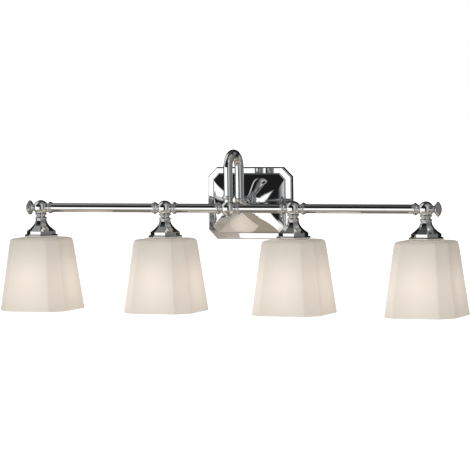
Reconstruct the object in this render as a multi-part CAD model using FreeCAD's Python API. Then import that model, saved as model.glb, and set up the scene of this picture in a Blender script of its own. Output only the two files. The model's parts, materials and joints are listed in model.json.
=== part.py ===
# Wall-mounted vanity light bar: a chrome bar on a gooseneck arm carries opal glass shades on turned ball hubs.
# Frame: millimetres, +Z up, X along the bar, the wall in the plane Y = 0 and the light in front of it at Y < 0.
# The origin is the centre of the backplate on the wall. Every piece is a solid in a file of its own.
import FreeCAD, Part
import math
import os

from FreeCAD import Vector

# ---- driving dimensions, in millimetres -------------------------------------------------------------------

# layout of the whole light
lamp_count = 4
lamp_pitch = 238.0          # between neighbouring shades along the bar
bar_reach = 108.5           # wall to the bar's axis
bar_drop = 4.3              # bar's axis below the backplate's centre
arm_rise = 66.5             # bar's axis up to the centre of the gooseneck's arch
arm_spread = 52.0           # between the gooseneck's two upright legs
elbow_radius = 12.0         # centreline of the elbow at the backplate

# tube, nipples and wires
tube_od = 15.9
tube_wall = 1.2
plug_length = 11.0          # brazed plug in each end of a tube
nipple_od = 9.6
nipple_bore = 6.6
wire_od = 2.2
wire_spacing = 3.0          # between the two conductors
thread_clearance = 0.05     # radial, between a threaded rod or nipple and its hole
slip_clearance = 0.1        # radial, between a tube and the seat it slides into

# backplate, mounting strap and what fixes them
plate_width = 157.5
plate_height = 126.5
plate_corner = 16.8         # leg of the cut corner
plate_sheet = 1.5
rim_depth = 10.0            # wall to the face of the flat rim
rim_width = 11.0
step_height = 3.0           # rim up to the foot of the cushion
crown_height = 15.0         # rise of the cushion
seat_half = 13.0            # centre to a side of the cushion's flat seat for the arm
seat_slope = 17.0           # degrees the cushion's upper and lower sides still climb at the seat
side_seat_slope = 4.0       # the same for its left and right sides
rim_round = 1.2
strap_width = 26.0
strap_sheet = 2.0
strap_gap = 0.6             # between the strap's ear and the backplate's side
ear_gap = 0.5               # between the end of the strap's ear and the inside of the rim
box_screw_spacing = 88.9
box_slot_length = 14.0
box_slot_width = 4.6
wire_entry_radius = 8.0
fixing_screw_radius = 1.9
fixing_screw_length = 7.0
ground_screw_x = 24.0
ground_head_radius = 4.0
ground_head_height = 2.4
stiffener_sheet = 2.0
stiffener_margin = 0.6      # inside the flat seat
washer_sheet = 1.4
nut_flats = 14.0
nut_height = 4.5
cup_nut_gap = 0.3           # between the cup's round nut and the inside of the cup

# ball hubs, collars and end finials
ball_radius = 13.2
stub_radius = 6.4
stub_rise = 0.4             # ball's surface to the face that a collar seats on
collar_length = 10.8
collar_foot_radius = 7.0
collar_lip = 1.05           # wall of the collar round its tube
collar_ring = 2.65          # tube's surface to the crest of the collar's ring
tube_seat_depth = 5.0       # how far a tube slides into its collar
flange_length = 9.6         # of the turned rose at the backplate
flange_seat_depth = 6.0     # how far the arm slides into it
flange_reach = 5.65         # tube's surface to the rose's rim
nipple_proud = 2.0          # of the locknut, inside the backplate
chamber_half = 5.6          # hub's centre to the end of each nipple in it
finial_radius = 12.9
finial_neck_radius = 5.2
finial_rim_reach = 8.8      # stub's face to the finial's rim
finial_tip_reach = 15.4
cap_radius = 5.6
cap_rise = 1.9              # bottom of the ball to the bottom of the cap
cap_stud_radius = 3.0

# neck under a hub, and the eight-sided cup
neck_length = 21.3          # hub's centre to the top of the cup
neck_disc_at = 11.4         # hub's centre to the middle of the neck's disc
neck_radius = 8.1
neck_disc_radius = 10.9
neck_ring_radius = 10.7
cup_top_flat = 9.05         # centre to a flat, at the top of the flare
cup_flare_bottom = 41.2     # below the bar's axis
cup_band_bottom = 46.6
cup_bottom = 51.5
cup_flange_height = 3.4
cup_wall = 2.0
mouth_gap = 3.0             # between the socket and the cup's mouth
flare_seat = 2.7            # mouth to a flat of the flare's foot
flange_seat = 6.2           # mouth to a flat of the flange

# socket, shade ring and lamp
gasket_sheet = 1.0
socket_radius = 18.0
socket_neck_radius = 9.0
socket_neck_top = 37.0      # below the bar's axis, as are the next ones
socket_shoulder = 43.5
socket_floor = 57.0
socket_mouth = 84.0
shell_outer_radius = 13.9
shell_sheet = 0.6
contact_radius = 4.0
contact_height = 1.5
ring_wall = 3.0             # barrel of the ring round the socket
ring_flange = 8.0           # flange of the ring round the socket
ring_flange_height = 2.6
ring_height = 10.0
ring_notches = 12
ring_notch_radius = 1.6
lamp_shell_radius = 12.9
lamp_shell_sheet = 0.5
lamp_shell_length = 22.6
lamp_tip_height = 2.8
lamp_globe_radius = 30.0
lamp_length = 104.0         # tip of the contact to the far end of the glass
lamp_glass_sheet = 0.8

# opal glass shade: a tapered square tube with cut corners
shade_height = 127.5
shade_top_half = 47.5       # centre to a side, at the shoulder
shade_bottom_half = 62.6
shade_top_corner = 16.4     # leg of the cut corner, at the shoulder
shade_bottom_corner = 21.0
shoulder_drop = 6.5         # top of the glass down to the shoulder
shoulder_run = 5.5
glass_sheet = 4.0
glass_hole_gap = 3.2        # between the socket and the hole in the glass

# ---- places worked out from them --------------------------------------------------------------------------

bar_y = -bar_reach
bar_z = -bar_drop
lamp_x = [(k - (lamp_count - 1) / 2) * lamp_pitch for k in range(lamp_count)]
tube_radius = tube_od / 2
tube_seat_radius = tube_radius + slip_clearance
nipple_radius = nipple_od / 2
thread_hole = nipple_radius + thread_clearance
stub_length = math.sqrt(ball_radius ** 2 - collar_foot_radius ** 2) + stub_rise
collar_end = stub_length + collar_length
tube_start = collar_end - tube_seat_depth
nipple_end = tube_start + plug_length - 1.0
plate_face = rim_depth + step_height + crown_height
stiffener_y = plate_sheet - plate_face
washer_y = stiffener_y + stiffener_sheet
locknut_y = washer_y + washer_sheet
arm_nipple_y = locknut_y + nut_height + nipple_proud
arm_tube_y = flange_seat_depth - plate_face - flange_length
ear_depth = rim_depth - plate_sheet - ear_gap
rear_leg_y = bar_y + arm_spread
arch_z = bar_z + arm_rise
arch_radius = arm_spread / 2
cup_mouth_radius = socket_radius + mouth_gap
cup_flare_flat = cup_mouth_radius + flare_seat
cup_flange_flat = cup_mouth_radius + flange_seat
glass_hole_radius = socket_radius + glass_hole_gap
glass_top = cup_bottom + gasket_sheet
glass_inner_top = glass_top + glass_sheet
ring_top = glass_inner_top + 0.1
lamp_top = socket_floor + contact_height + 0.1
RIGHT = Vector(1, 0, 0)
LEFT = Vector(-1, 0, 0)
UP = Vector(0, 0, 1)
DOWN = Vector(0, 0, -1)
FORWARD = Vector(0, -1, 0)


# ---- building blocks --------------------------------------------------------------------------------------

def outline(points, place):
    """Closed wire: a point of two numbers ends a line, and one of four ends an arc through its last two."""
    edges = []
    here = place(*points[0])
    for point in points[1:] + points[:1]:
        there = place(*point[:2])
        if len(point) == 4 and edges:
            edges.append(Part.Arc(here, place(*point[2:]), there).toShape())
        else:
            edges.append(Part.makeLine(here, there))
        here = there
    return Part.Wire(edges)


def dome(radius, foot, tip):
    """Profile point that ends a spherical cap on the axis at tip, where the cap starts at radius and foot."""
    rise = tip - foot
    sphere = (radius ** 2 + rise ** 2) / (2 * rise)
    half_turn = math.asin(radius / sphere) / 2
    return (0, tip, sphere * math.sin(half_turn), tip - sphere + sphere * math.cos(half_turn))


def turned(profile, at, axis=UP):
    """Solid of revolution: the profile's points are (radius, distance along the axis from at)."""
    face = Part.Face(outline(profile, lambda r, s: Vector(r, 0, s)))
    solid = face.revolve(Vector(0, 0, 0), UP, 360)
    solid.Placement = FreeCAD.Placement(at, FreeCAD.Rotation(UP, axis))
    return solid


def rod(radius, start, axis, length):
    return Part.makeCylinder(radius, length, start, axis)


def pipe(outer, inner, start, axis, length):
    return rod(outer, start, axis, length).cut(rod(inner, start, axis, length))


def box(x0, x1, y0, y1, z0, z1):
    return Part.makeBox(x1 - x0, y1 - y0, z1 - z0, Vector(x0, y0, z0))


def joined(first, *others):
    return first.fuse(list(others)).removeSplitter()


def hexagon(flats, hole, start, axis, height):
    """Hexagon nut with a plain hole."""
    corner = flats / math.sqrt(3)
    turns = [i * math.pi / 3 for i in range(6)]
    points = [Vector(corner * math.cos(turn), corner * math.sin(turn), 0) for turn in turns]
    nut = Part.Face(Part.makePolygon(points + points[:1])).extrude(Vector(0, 0, height))
    nut = nut.cut(rod(hole, Vector(0, 0, 0), UP, height))
    nut.Placement = FreeCAD.Placement(start, FreeCAD.Rotation(UP, axis))
    return nut


def mirrored_profile(half):
    """Adds the mirror image to an outline given from its foot, right of the centre line, to its top."""
    back = []
    for i, point in enumerate(reversed(half)):
        mirrored = [-point[0], point[1]]
        if i:
            arc = half[len(half) - i]
            if len(arc) == 4:
                mirrored += [-arc[2], arc[3]]
        back.append(tuple(mirrored))
    return half + back


def faceted(profiles, reach):
    """Common solid of outlines (across, up), each run straight through along its own level direction."""
    body = None
    for angle, half in profiles:
        across = Vector(math.cos(angle), math.sin(angle), 0)
        along = Vector(-math.sin(angle), math.cos(angle), 0)
        wire = outline(mirrored_profile(half), lambda a, u: across * a + UP * u - along * reach)
        bar = Part.Face(wire).extrude(along * 2 * reach)
        body = bar if body is None else body.common(bar)
    return body


def octagon_points(half_x, half_z, corner):
    a, b = half_x - corner, half_z - corner
    return [(half_x, b), (a, half_z), (-a, half_z), (-half_x, b), (-half_x, -b), (-a, -half_z), (a, -half_z),
            (half_x, -b)]


def wall_octagon(half_x, half_z, corner, y_back, y_front):
    """Upright prism with cut corners, from the wall side y_back to y_front."""
    points = [Vector(x, y_back, z) for x, z in octagon_points(half_x, half_z, corner)]
    return Part.Face(Part.makePolygon(points + points[:1])).extrude(Vector(0, y_front - y_back, 0))


def stacked_octagons(sections, x, y):
    """Flat-faced solid through level octagons, each (half width, cut corner, height), capped at both ends."""
    rings = [[Vector(x + a, y + b, z) for a, b in octagon_points(half, half, corner)]
             for half, corner, z in sections]
    faces = [Part.Face(Part.makePolygon(ring + ring[:1])) for ring in (rings[0], rings[-1])]
    for low, high in zip(rings, rings[1:]):
        for i in range(8):
            j = (i + 1) % 8
            faces.append(Part.Face(Part.makePolygon([low[i], low[j], high[j], high[i], low[i]])))
    solid = Part.Solid(Part.Shell(faces))
    if solid.Volume < 0:
        solid.reverse()
    return solid


def bent_path(x, points, radii):
    """Wire in the plane X = x through points (y, z), with an arc of each radius at the inner points."""
    edges = []
    here = Vector(x, *points[0])
    for before, corner, after, radius in zip(points, points[1:], points[2:], radii):
        tip = Vector(x, *corner)
        back = (Vector(x, *before) - tip).normalize()
        ahead = (Vector(x, *after) - tip).normalize()
        half = back.getAngle(ahead) / 2
        cut = radius / math.tan(half)
        middle = (back + ahead).normalize()
        arc_mid = tip + middle * (radius / math.sin(half) - radius)
        if (tip + back * cut - here).Length > 1e-6:
            edges.append(Part.makeLine(here, tip + back * cut))
        edges.append(Part.Arc(tip + back * cut, arc_mid, tip + ahead * cut).toShape())
        here = tip + ahead * cut
    edges.append(Part.makeLine(here, Vector(x, *points[-1])))
    return Part.Wire(edges)


def swept(radius, path):
    start = path.Edges[0]
    ring = Part.Wire(Part.makeCircle(radius, start.Vertexes[0].Point, start.tangentAt(start.FirstParameter)))
    return path.makePipeShell([ring], True, False)


def save(node, *solids):
    shape = solids[0] if len(solids) == 1 else Part.makeCompound(list(solids))
    if not shape.isValid():
        raise ValueError(node + " is not a valid shape")
    shape.exportStep("parts/" + node + ".step")
    print(node, len(shape.Solids), "solids", round(shape.Volume / 1000, 2), "cm3")


# ---- backplate and what holds it to the wall --------------------------------------------------------------

def plate_body(inset):
    """Solid form of the backplate with every face set back by inset: a flat rim, a step and a domed cushion.

    Each side of the cushion is an arc that still climbs a little where it meets the seat.
    """
    slab = wall_octagon(plate_width / 2 - inset, plate_height / 2 - inset,
                        plate_corner - inset * (2 - math.sqrt(2)), 0, inset - rim_depth)
    edge = rim_width + inset
    half_x, half_z = plate_width / 2 - edge, plate_height / 2 - edge
    corner = plate_corner - edge * (2 - math.sqrt(2))
    half_diagonal = (half_x + half_z - corner) / math.sqrt(2)
    foot, top = rim_depth + step_height - inset, plate_face - inset

    def side(half, slope):
        run = half - seat_half
        bulge = math.tan((math.atan2(crown_height, run) - math.radians(slope)) / 2) / 2
        middle = (seat_half + run / 2 + bulge * crown_height, top - crown_height / 2 + bulge * run)
        return [(half, 0), (half, foot), (seat_half, top, *middle)]

    sides = [(0, half_x, side_seat_slope), (math.pi / 2, half_z, seat_slope), (math.pi / 4, half_diagonal, seat_slope / 2),
             (-math.pi / 4, half_diagonal, seat_slope / 2)]
    cushion = faceted([(angle, side(half, slope)) for angle, half, slope in sides], plate_width)
    cushion.Placement = FreeCAD.Placement(Vector(0, 0, 0), FreeCAD.Rotation(RIGHT, 90))
    return slab, cushion


def backplate():
    slab, cushion = plate_body(0)
    front = [edge for edge in slab.Edges
             if all(abs(vertex.Point.y + rim_depth) < 1e-6 for vertex in edge.Vertexes)]
    slab = slab.makeFillet(rim_round, front)
    inner_slab, inner_cushion = plate_body(plate_sheet)
    body = slab.fuse(cushion).cut(inner_slab).cut(inner_cushion)
    body = body.cut(rod(thread_hole, Vector(0, 1, 0), FORWARD, plate_face + 2))
    side = Vector(-plate_width / 2 - 1, -ear_depth / 2 - strap_sheet / 2, 0)
    screw_hole = rod(fixing_screw_radius + thread_clearance, side, RIGHT, plate_width + 2)
    return body.cut(screw_hole).removeSplitter()


def ear_face():
    """Outer face of the strap's ear, from the middle."""
    return plate_width / 2 - plate_sheet - strap_gap


def mounting_strap():
    out = ear_face()
    half = strap_width / 2
    strap = box(-out, out, -strap_sheet, 0, -half, half)
    ears = [box(-out, -out + strap_sheet, -ear_depth, 0, -half, half),
            box(out - strap_sheet, out, -ear_depth, 0, -half, half)]
    strap = joined(strap, *ears)
    strap = strap.cut(rod(wire_entry_radius, Vector(0, 1, 0), FORWARD, strap_sheet + 2))
    for side in (-1, 1):
        middle = side * box_screw_spacing / 2
        run = (box_slot_length - box_slot_width) / 2
        slot = box(middle - run, middle + run, -strap_sheet - 1, 1, -box_slot_width / 2, box_slot_width / 2)
        ends = [rod(box_slot_width / 2, Vector(middle + end * run, 1, 0), FORWARD, strap_sheet + 2)
                for end in (-1, 1)]
        strap = strap.cut(joined(slot, *ends))
    ground = Vector(ground_screw_x, 1, 0)
    strap = strap.cut(rod(fixing_screw_radius + thread_clearance, ground, FORWARD, strap_sheet + 2))
    screw_line = Vector(-out - 1, -ear_depth / 2 - strap_sheet / 2, 0)
    return strap.cut(rod(fixing_screw_radius + thread_clearance, screw_line, RIGHT, 2 * out + 2))


def fixing_screws():
    """Two slotted grub screws that run through the backplate's sides into the strap's ears, flush outside."""
    screws = []
    for side in (-1, 1):
        start = Vector(side * plate_width / 2, -ear_depth / 2 - strap_sheet / 2, 0)
        screw = rod(fixing_screw_radius, start, RIGHT * -side, fixing_screw_length)
        reach = 2 * fixing_screw_radius
        slot = box(-0.9, 0.9, start.y - reach, start.y + reach, -0.35, 0.35)
        slot.translate(Vector(start.x, 0, 0))
        screws.append(screw.cut(slot))
    return screws


def ground_screw():
    """Pan-head screw in the strap, with its head inside the backplate."""
    start = Vector(ground_screw_x, -strap_sheet, 0)
    rise = ground_head_height
    side = rise * 0.45
    head = [(0, 0), (ground_head_radius, 0), (ground_head_radius, side), dome(ground_head_radius, side, rise)]
    head = turned(head, start, FORWARD)
    shank = rod(fixing_screw_radius, start, FORWARD * -1, strap_sheet)
    slot = box(ground_screw_x - ground_head_radius, ground_screw_x + ground_head_radius, start.y - rise - 1,
               start.y - rise * 0.5, -0.5, 0.5)
    return joined(head, shank).cut(slot)


def stiffener():
    """Thick washer that backs the cushion's seat from inside."""
    start = Vector(0, stiffener_y, 0)
    return pipe(seat_half - stiffener_margin, thread_hole, start, FORWARD * -1, stiffener_sheet)


# ---- gooseneck arm ----------------------------------------------------------------------------------------

def arm_lock_washer():
    ring = pipe(nut_flats / 2, nipple_radius + 0.3, Vector(0, washer_y, 0), FORWARD * -1, washer_sheet)
    return ring.cut(box(-0.8, 0.8, washer_y - 1, locknut_y + 1, 0, nut_flats))


def arm_locknut():
    return hexagon(nut_flats, thread_hole, Vector(0, locknut_y, 0), FORWARD * -1, nut_height)


def arm_nipple():
    """Hollow threaded nipple from inside the backplate into the arm's end plug."""
    length = arm_nipple_y - arm_tube_y + plug_length - 1.0
    return pipe(nipple_radius, nipple_bore / 2, Vector(0, arm_nipple_y, 0), FORWARD, length)


def arm_flange():
    """Turned rose that stands on the cushion and takes the arm's end."""
    seat = flange_length - flange_seat_depth
    rim, waist, lip = tube_radius + flange_reach, tube_radius + 1.65, tube_radius + 2.45
    profile = [(thread_hole, 0), (rim, 0), (rim, 2.2), (rim - 1.4, 3.2, rim - 0.3, 2.9),
               (waist, 6.4, waist + 0.8, 4.2), (lip, 7.0), (lip, 8.4, lip + 0.7, 7.7),
               (lip - 1.0, flange_length),
               (tube_seat_radius, flange_length), (tube_seat_radius, seat), (thread_hole, seat)]
    return turned(profile, Vector(0, -plate_face, 0), FORWARD)


def arm_points():
    """Corners of the arm's centreline, as (y, z), from the backplate to the bar."""
    arch_top = arch_z + arch_radius
    return [(arm_tube_y, 0), (rear_leg_y, 0), (rear_leg_y, arch_top), (bar_y, arch_top),
            (bar_y, bar_z + tube_start)]


def arm_tube():
    """Bent tube with plugged ends: a stub at the backplate, an elbow, the rear leg, the arch, the front leg."""
    path = bent_path(0, arm_points(), [elbow_radius, arch_radius, arch_radius])
    tube = swept(tube_radius, path).cut(swept(tube_radius - tube_wall, path))
    plug_radius = tube_radius - tube_wall / 2
    plugs = [pipe(plug_radius, thread_hole, Vector(0, arm_tube_y, 0), FORWARD, plug_length),
             pipe(plug_radius, thread_hole, Vector(0, bar_y, bar_z + tube_start), UP, plug_length)]
    return joined(tube, *plugs)


# ---- bar, hubs, collars and finials -----------------------------------------------------------------------

def collar(at, axis):
    """Turned collar from a hub's stub to a tube: a cone, a groove and a bold ring, measured from the hub."""
    foot, end, ring = stub_length, collar_end, tube_radius + collar_ring
    lip = tube_radius + collar_lip
    ring_from, ring_to = end - 5.8, end - 1.7
    ring_mid = (ring_from + ring_to) / 2
    profile = [(thread_hole, foot), (collar_foot_radius, foot), (collar_foot_radius, foot + 1.2),
               (ring - 1.9, ring_from - 0.9, collar_foot_radius + 0.5, (foot + 1.2 + ring_from) / 2),
               (ring - 2.5, ring_from - 0.5), (ring - 1.2, ring_from),
               (ring - 1.2, ring_to, ring, ring_mid), (lip, ring_to), (lip, end),
               (tube_seat_radius, end), (tube_seat_radius, tube_start), (thread_hole, tube_start)]
    return turned(profile, at, axis)


def hub_nipple(at, axis):
    return pipe(nipple_radius, nipple_bore / 2, at + axis * chamber_half, axis, nipple_end - chamber_half)


def bar_tube(x_from, x_to):
    """Straight tube between two hubs, with a bored plug in each end."""
    start = Vector(x_from + tube_start, bar_y, bar_z)
    length = x_to - x_from - 2 * tube_start
    tube = pipe(tube_radius, tube_radius - tube_wall, start, RIGHT, length)
    plug_radius = tube_radius - tube_wall / 2
    plugs = [pipe(plug_radius, thread_hole, start, RIGHT, plug_length),
             pipe(plug_radius, thread_hole, start + RIGHT * length, LEFT, plug_length)]
    return joined(tube, *plugs)


def stubbed(body, centre, axis):
    """Ball cut flat round a stub that a collar or finial seats on."""
    body = body.cut(rod(ball_radius, centre + axis * stub_length, axis, ball_radius))
    return joined(body, rod(stub_radius, centre, axis, stub_length))


def ball(x):
    """Ball with a stub on its left and right."""
    centre = Vector(x, bar_y, bar_z)
    return stubbed(stubbed(Part.makeSphere(ball_radius, centre), centre, LEFT), centre, RIGHT), centre


def bored(body, centre, axis, length):
    return body.cut(rod(thread_hole, centre, axis, length))


def lamp_hub(x):
    """Ball hub with a turned neck below it: a disc, a waist and a ring that the cup hangs from."""
    body, centre = ball(x)
    disc, ring, waist = neck_disc_radius, neck_ring_radius, neck_radius
    top = neck_disc_at - 1.6
    foot = neck_length
    profile = [(0, 6), (waist, 6), (waist, top), (disc - 0.8, top + 0.6),
               (disc - 0.8, top + 2.6, disc, top + 1.6), (waist, top + 3.4),
               (waist, foot - 4.8, waist - 0.6, (top + foot - 1.4) / 2), (ring - 1.0, foot - 4.2),
               (ring - 1.0, foot - 1.2, ring, foot - 2.7), (cup_top_flat, foot), (0, foot)]
    body = joined(body, turned(profile, centre, DOWN))
    body = bored(body, centre - RIGHT * (stub_length + 1), RIGHT, 2 * stub_length + 2)
    return bored(body, centre, DOWN, neck_length + 1)


def centre_hub():
    """Ball hub that joins the bar to the gooseneck, with a stub on top and a tapped hole below."""
    body, centre = ball(0)
    body = stubbed(body, centre, UP)
    body = bored(body, centre - RIGHT * (stub_length + 1), RIGHT, 2 * stub_length + 2)
    body = bored(body, centre, UP, stub_length + 1)
    return body.cut(rod(cap_stud_radius + thread_clearance, centre, DOWN, ball_radius + 1))


def centre_hub_cap():
    """Button that closes the centre hub from below, on a threaded stud."""
    centre = Vector(0, bar_y, bar_z)
    face = ball_radius + 0.1
    profile = [(0, chamber_half), (cap_stud_radius, chamber_half), (cap_stud_radius, face),
               (cap_radius, face), (cap_radius, face + 0.9),
               dome(cap_radius, face + 0.9, ball_radius + cap_rise)]
    return turned(profile, centre, DOWN)


def end_finial(x, axis):
    """Mushroom finial on a threaded stud: a waist, a flared back and a low dome."""
    rim, neck = finial_radius, finial_neck_radius
    rim_at, tip = stub_length + finial_rim_reach, stub_length + finial_tip_reach
    profile = [(0, chamber_half), (nipple_radius, chamber_half), (nipple_radius, stub_length),
               (neck + 1.2, stub_length), (neck + 1.2, stub_length + 1.4), (neck, stub_length + 2.4),
               (rim - 0.9, rim_at - 0.5, neck + 2.2, rim_at - 3.2), (rim, rim_at), (rim, rim_at + 0.9),
               dome(rim, rim_at + 0.9, tip)]
    return turned(profile, Vector(x, bar_y, bar_z), axis)


# ---- cup, socket and shade --------------------------------------------------------------------------------

def bell(inset):
    """Solid eight-sided bell, standing on its mouth at the origin with every side set back by inset."""
    top = cup_bottom - neck_length
    flare_top, flare_foot = top - inset, cup_bottom - cup_flare_bottom
    band = cup_bottom - cup_band_bottom
    inner, outer = cup_top_flat - inset, cup_flare_flat - inset
    middle = (inner + (outer - inner) * 0.32, flare_foot + (flare_top - flare_foot) * 0.46)
    half = [(outer, band), (outer, flare_foot), (inner, flare_top, *middle)]
    if not inset:
        flange = [(cup_flange_flat, 0), (cup_flange_flat, cup_flange_height), (cup_flange_flat - 1.6, band)]
        half = flange + half
    else:
        half = [(outer, band - 1)] + half[1:]
    return faceted([(i * math.pi / 4, half) for i in range(4)], 3 * cup_flange_flat)


def cup(x):
    """Hollow eight-sided bell cup with a stepped flange; the socket passes through its round mouth."""
    mouth = rod(cup_mouth_radius, Vector(0, 0, -1), UP, cup_bottom - cup_band_bottom + 1)
    body = bell(0).cut(bell(cup_wall)).cut(mouth)
    body = body.cut(rod(thread_hole, Vector(0, 0, 0), UP, cup_bottom))
    body.translate(Vector(x, bar_y, bar_z - cup_bottom))
    return body


def below_bar(x, depth):
    return Vector(x, bar_y, bar_z - depth)


def cup_nipple(x):
    length = socket_shoulder - 1 - chamber_half
    return pipe(nipple_radius, nipple_bore / 2, below_bar(x, chamber_half), DOWN, length)


def cup_nut(x):
    """Slotted round nut that clamps the cup to its hub from inside."""
    outer = cup_top_flat - cup_wall - cup_nut_gap
    nut = pipe(outer, thread_hole, below_bar(x, neck_length + cup_wall), DOWN, nut_height)
    foot = bar_z - neck_length - cup_wall - nut_height
    return nut.cut(box(x - outer - 1, x + outer + 1, bar_y - 0.6, bar_y + 0.6, foot - 1, foot + 1.2))


def shade_gasket(x):
    return pipe(cup_flange_flat - 1.0, cup_mouth_radius + 0.2, below_bar(x, cup_bottom), DOWN, gasket_sheet)


def socket_body(x):
    """Moulded lampholder: a tapped neck on the nipple and a threaded barrel that is open below."""
    cavity = shell_outer_radius + 0.1
    chamfer = min(1.0, (socket_radius - cavity) / 2)
    profile = [(thread_hole, socket_neck_top), (socket_neck_radius, socket_neck_top),
               (socket_neck_radius, socket_shoulder - 1.5), (socket_radius - 1.5, socket_shoulder),
               (socket_radius, socket_shoulder + 1.5), (socket_radius, socket_mouth - chamfer),
               (socket_radius - chamfer, socket_mouth), (cavity, socket_mouth), (cavity, socket_floor),
               (0, socket_floor), (0, socket_floor - 6), (nipple_bore / 2, socket_floor - 6),
               (nipple_bore / 2, socket_shoulder), (thread_hole, socket_shoulder)]
    return turned(profile, Vector(x, bar_y, bar_z), DOWN)


def socket_shell(x):
    start = below_bar(x, socket_floor + 1.8)
    length = socket_mouth - socket_floor - 3.8
    return pipe(shell_outer_radius, shell_outer_radius - shell_sheet, start, DOWN, length)


def socket_contact(x):
    return rod(contact_radius, below_bar(x, socket_floor), DOWN, contact_height)


def shade_ring(x):
    """Ring nut that clamps the glass, with finger notches round its flange."""
    bore, barrel = socket_radius + slip_clearance, socket_radius + ring_wall
    flange = socket_radius + ring_flange
    low, end = ring_top + ring_flange_height, ring_top + ring_height
    profile = [(bore, ring_top), (flange, ring_top), (flange, low), (barrel, low), (barrel, end - 0.8),
               (barrel - 0.8, end), (bore, end)]
    ring = turned(profile, Vector(x, bar_y, bar_z), DOWN)
    for i in range(ring_notches):
        angle = 2 * math.pi * i / ring_notches
        spot = below_bar(x, ring_top - 1) + Vector(math.cos(angle), math.sin(angle), 0) * flange
        ring = ring.cut(rod(ring_notch_radius, spot, DOWN, ring_flange_height + 2))
    return ring


def shade(x):
    """Opal glass shade: tapered, square with cut corners, open below and holed above."""
    top, foot = bar_z - glass_top, bar_z - glass_top - shade_height
    brow = glass_hole_radius + 8.0
    slope = (shade_bottom_half - shade_top_half) / (shade_height - shoulder_drop)
    corner_slope = (shade_bottom_corner - shade_top_corner) / (shade_height - shoulder_drop)
    outer = [(shade_bottom_half, shade_bottom_corner, foot),
             (shade_top_half, shade_top_corner, top - shoulder_drop),
             (shade_top_half - shoulder_run, shade_top_corner - 1.3, top - 0.8),
             (brow, shade_top_corner - 4.0, top)]
    drop = shoulder_drop - glass_sheet
    inner = [(shade_bottom_half - glass_sheet + slope * 2,
              shade_bottom_corner - 2.3 + corner_slope * 2, foot - 2),
             (shade_top_half - glass_sheet, shade_top_corner - 2.3, top - glass_sheet - max(drop, 0.5) - 1.0),
             (shade_top_half - glass_sheet - 3.0, shade_top_corner - 3.0, top - glass_sheet)]
    glass = stacked_octagons(outer, x, bar_y).cut(stacked_octagons(inner, x, bar_y))
    return glass.cut(rod(glass_hole_radius, Vector(x, bar_y, top + 1), DOWN, glass_sheet + 2))


# ---- lamp -------------------------------------------------------------------------------------------------

def lamp_tip(x):
    """Centre contact and the black glass insulator round it."""
    edge = lamp_shell_radius - lamp_shell_sheet - 0.1
    profile = [(0, lamp_top), (3.6, lamp_top), (4.6, lamp_top + 0.9), (edge, lamp_top + lamp_tip_height),
               (edge, lamp_top + lamp_tip_height + 1.2), (0, lamp_top + lamp_tip_height + 1.2)]
    return turned(profile, Vector(x, bar_y, bar_z), DOWN)


def lamp_shell(x):
    start = below_bar(x, lamp_top + lamp_tip_height)
    return pipe(lamp_shell_radius, lamp_shell_radius - lamp_shell_sheet, start, DOWN, lamp_shell_length)


def bulb_outline(sheet):
    """Half outline of the bulb's glass, set in by sheet, from its neck to its far end."""
    neck = lamp_shell_radius - lamp_shell_sheet - 0.1 - sheet
    globe = lamp_globe_radius - sheet
    centre = lamp_top + lamp_length - lamp_globe_radius
    join = globe * 0.92
    join_at = centre - math.sqrt(globe ** 2 - join ** 2)
    neck_top = lamp_top + lamp_tip_height + lamp_shell_length - 6.0
    neck_end = neck_top + 9.0
    return [(neck, neck_top), (neck, neck_end),
            (join, join_at, neck + (join - neck) * 0.47, neck_end + (join_at - neck_end) * 0.55),
            (0, centre + globe, globe * math.cos(0.5), centre + globe * math.sin(0.5))]


def lamp_glass(x):
    outer, inner = bulb_outline(0), bulb_outline(lamp_glass_sheet)
    base = Vector(x, bar_y, bar_z)
    solid = turned(outer + [(0, outer[0][1])], base, DOWN)
    hollow = turned(inner + [(0, inner[0][1])], base, DOWN)
    return solid.cut(hollow)


# ---- wiring -----------------------------------------------------------------------------------------------

def conductor(side):
    """One insulated conductor: a run up and over the arm, a run along the bar and a drop to each socket."""
    offset = side * wire_spacing / 2
    radius = wire_od / 2
    lift = radius + 0.1
    first, last = lamp_x[0], lamp_x[-1]
    along = rod(radius, Vector(first, bar_y + offset, bar_z + lift), RIGHT, last - first)
    drops = [rod(radius, Vector(x, bar_y + offset, bar_z - 0.1), DOWN, socket_floor - 8) for x in lamp_x]
    points = arm_points()
    points[0] = (arm_nipple_y + 3.0, 0)
    points[-1] = (bar_y, bar_z + lift + radius + 0.1)
    up_the_arm = swept(radius, bent_path(offset, points, [elbow_radius, arch_radius, arch_radius]))
    return [along, up_the_arm] + drops


# ---- every node -------------------------------------------------------------------------------------------

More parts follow.
